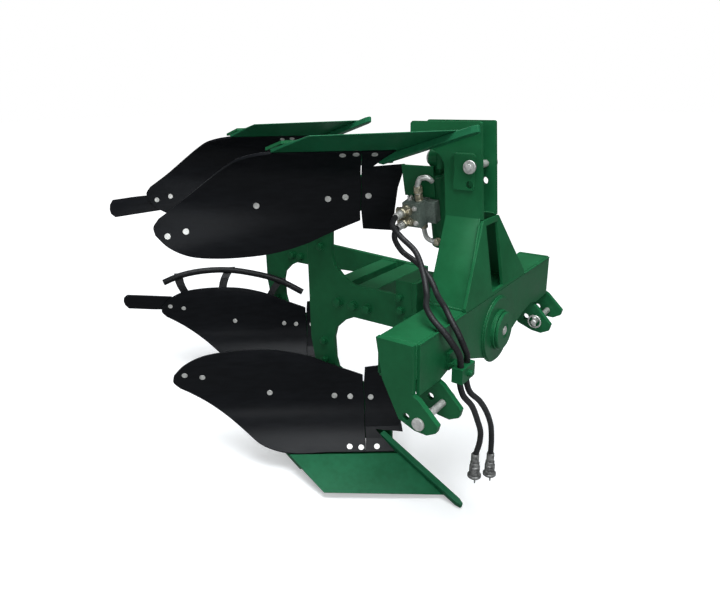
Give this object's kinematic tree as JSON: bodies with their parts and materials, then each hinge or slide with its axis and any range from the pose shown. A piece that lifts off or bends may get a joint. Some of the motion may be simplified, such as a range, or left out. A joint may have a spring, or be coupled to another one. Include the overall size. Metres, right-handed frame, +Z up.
{
  "type": "reversible plough",
  "caption": "Two-furrow reversible plough: hitch headstock, turnover shaft turned by a hydraulic cylinder, and mirrored plough bodies above and below the frame.",
  "frame": {"origin": "under the middle of the plough without its hoses, at the height the lower share points stand on", "axes": "+X the direction of travel along the turnover axis, +Y to the left, +Z up"},
  "size_m": [1.541, 0.812, 1.0192],
  "materials": {
    "green_paint": "satin",
    "share_paint": "satin",
    "black_paint": "satin",
    "zinc_plate": "satin",
    "chromed_rod": "polished",
    "cast_valve": "matte",
    "hose_rubber": "matte"
  },
  "bodies": {
    "headstock": {"coupling_a": "zinc_plate", "coupling_b": "zinc_plate", "crossbar": "green_paint", "cylinder_bracket": "green_paint", "cylinder_pin": "zinc_plate", "front_plate": "green_paint", "hose_a": "hose_rubber", "hose_b": "hose_rubber", "hose_clamp": "green_paint", "inner_hitch_lug_left": "green_paint", "inner_hitch_lug_right": "green_paint", "lower_link_pin_left": "zinc_plate", "lower_link_pin_right": "zinc_plate", "outer_hitch_lug_left": "green_paint", "outer_hitch_lug_right": "green_paint", "top_link_pin": "zinc_plate", "tower_plate_left": "green_paint", "tower_plate_right": "green_paint", "turnover_housing": "green_paint"},
    "turning_frame": {"turnover_shaft": "green_paint", "crank_flange": "green_paint", "frame_hub": "green_paint", "beam_plate_right": "green_paint", "beam_plate_left": "green_paint", "cross_beam_front": "green_paint", "cross_beam_rear": "green_paint", "guard_rail": "black_paint", "tail_strip_lower": "black_paint", "tail_strip_upper": "black_paint", "frog_front_lower": "green_paint", "frog_front_upper": "green_paint", "frog_rear_lower": "green_paint", "frog_rear_upper": "green_paint", "landside_front_lower": "green_paint", "landside_front_upper": "green_paint", "landside_rear_lower": "green_paint", "landside_rear_upper": "green_paint", "mouldboard_front_lower": "black_paint", "mouldboard_front_upper": "black_paint", "mouldboard_rear_lower": "black_paint", "mouldboard_rear_upper": "black_paint", "share_front_lower": "share_paint", "share_front_upper": "share_paint", "share_point_front_lower": "share_paint", "share_point_front_upper": "share_paint", "share_point_rear_lower": "share_paint", "share_point_rear_upper": "share_paint", "share_rear_lower": "share_paint", "share_rear_upper": "share_paint", "shin_front_lower": "black_paint", "shin_front_upper": "black_paint", "shin_rear_lower": "black_paint", "shin_rear_upper": "black_paint"},
    "cylinder": {"cylinder_barrel": "black_paint", "turnover_valve": "cast_valve"},
    "rod": {"cylinder_rod": "chromed_rod", "crank_pin": "zinc_plate"},
    "linch_ring_left": {"linch_ring_left": "zinc_plate"},
    "linch_ring_right": {"linch_ring_right": "zinc_plate"},
    "linch_ring_top": {"linch_ring_top": "zinc_plate"}
  },
  "joints": [
    {"name": "turnover", "type": "hinge", "parent": "headstock", "child": "turning_frame", "pos_m": [0.66002, 0, 0.50823], "axis": [1, 0, 0], "range_deg": [0, 180]},
    {"name": "cylinder_swing", "type": "hinge", "parent": "headstock", "child": "cylinder", "pos_m": [0.53002, 0, 0.92923], "axis": [1, 0, 0], "range_deg": [-13.36, 0], "deforming": ["hose_a", "hose_b"]},
    {"name": "rod_slide", "type": "slide", "parent": "cylinder", "child": "rod", "axis": [0, 0.2311, -0.9729], "range_m": [-0.11218, 0]},
    {"name": "linch_ring_right_swing", "type": "hinge", "parent": "headstock", "child": "linch_ring_right", "pos_m": [0.72102, -0.2723, 0.45523], "axis": [1, 0, 0], "range_deg": [0, 100]},
    {"name": "linch_ring_left_swing", "type": "hinge", "parent": "headstock", "child": "linch_ring_left", "pos_m": [0.72102, 0.2723, 0.45523], "axis": [-1, 0, 0], "range_deg": [0, 100]},
    {"name": "linch_ring_top_swing", "type": "hinge", "parent": "headstock", "child": "linch_ring_top", "pos_m": [0.64602, 0.062, 0.93523], "axis": [1, 0, 0], "range_deg": [0, 100]}
  ],
  "couplings": [
    {"joint": "rod_slide", "follows": "cylinder_swing", "m_per_rad": 0.48026}
  ]
}
